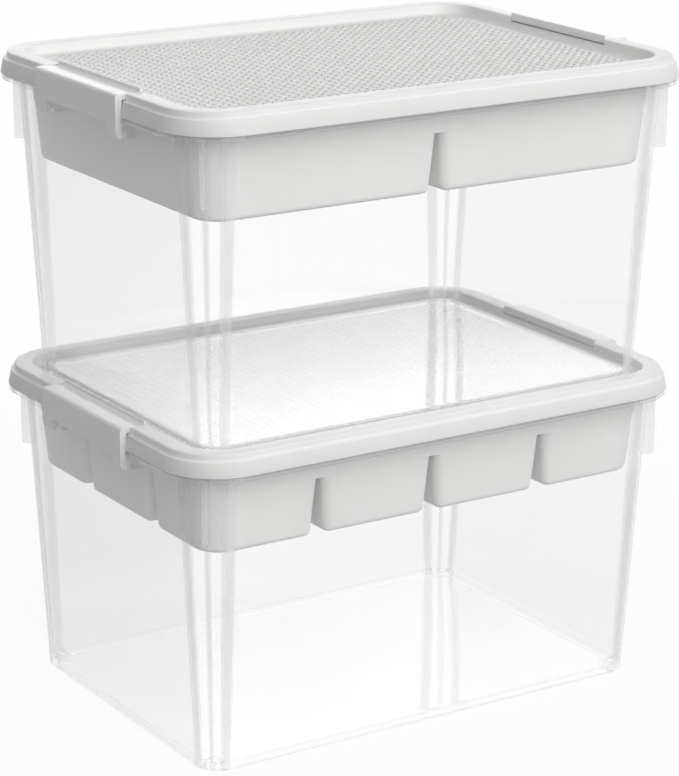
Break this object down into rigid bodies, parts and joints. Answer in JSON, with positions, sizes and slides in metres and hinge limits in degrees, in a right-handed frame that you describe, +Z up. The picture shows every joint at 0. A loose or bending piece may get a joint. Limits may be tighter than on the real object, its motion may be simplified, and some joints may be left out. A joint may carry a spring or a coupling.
{
  "type": "stacked toy storage boxes",
  "caption": "Stackable clear storage boxes, each with a clip-on lid, a lift-out sorting tray and hinged end latches.",
  "frame": {"origin": "middle of the lower box's foot, on the surface that it stands on", "axes": "+Z up, +X along the long side of the boxes towards the latch called right, +Y from the pictured long side towards the back"},
  "size_m": [0.406, 0.288, 0.4489],
  "materials": {
    "clear_plastic": "clear, glossy, slightly hazy",
    "tray_plastic": "opaque white, satin",
    "lid_plastic": "opaque white, satin",
    "latch_plastic": "opaque white, satin"
  },
  "bodies": {
    "lower_tub": {"lower_tub": "clear_plastic"},
    "lower_tray": {"lower_tray": "tray_plastic"},
    "lower_lid": {"lower_lid": "lid_plastic"},
    "lower_latch_left": {"lower_latch_left": "latch_plastic"},
    "lower_latch_right": {"lower_latch_right": "latch_plastic"},
    "upper_tub": {"upper_tub": "clear_plastic"},
    "upper_tray": {"upper_tray": "tray_plastic"},
    "upper_lid": {"upper_lid": "lid_plastic"},
    "upper_latch_left": {"upper_latch_left": "latch_plastic"},
    "upper_latch_right": {"upper_latch_right": "latch_plastic"}
  },
  "joints": [
    {"name": "lower_lid_lift", "type": "slide", "parent": "lower_tub", "child": "lower_lid", "axis": [0, 0, 1], "range_m": [0, 0.3]},
    {"name": "lower_tray_lift", "type": "slide", "parent": "lower_tub", "child": "lower_tray", "axis": [0, 0, 1], "range_m": [0, 0.135]},
    {"name": "lower_latch_left_hinge", "type": "hinge", "parent": "lower_lid", "child": "lower_latch_left", "pos_m": [-0.1854, 0, 0.225], "axis": [0, 1, 0], "range_deg": [0, 95]},
    {"name": "lower_latch_right_hinge", "type": "hinge", "parent": "lower_lid", "child": "lower_latch_right", "pos_m": [0.1854, 0, 0.225], "axis": [0, -1, 0], "range_deg": [0, 95]},
    {"name": "upper_box_lift", "type": "slide", "parent": "lower_lid", "child": "upper_tub", "axis": [0, 0, 1], "range_m": [0, 0.3]},
    {"name": "upper_lid_lift", "type": "slide", "parent": "upper_tub", "child": "upper_lid", "axis": [0, 0, 1], "range_m": [0, 0.3]},
    {"name": "upper_tray_lift", "type": "slide", "parent": "upper_tub", "child": "upper_tray", "axis": [0, 0, 1], "range_m": [0, 0.135]},
    {"name": "upper_latch_left_hinge", "type": "hinge", "parent": "upper_lid", "child": "upper_latch_left", "pos_m": [-0.1854, 0, 0.4447], "axis": [0, 1, 0], "range_deg": [0, 95]},
    {"name": "upper_latch_right_hinge", "type": "hinge", "parent": "upper_lid", "child": "upper_latch_right", "pos_m": [0.1854, 0, 0.4447], "axis": [0, -1, 0], "range_deg": [0, 95]}
  ],
  "couplings": [
    {"joint": "lower_tray_lift", "follows": "lower_lid_lift", "ratio": 0.45},
    {"joint": "upper_tray_lift", "follows": "upper_lid_lift", "ratio": 0.45}
  ]
}
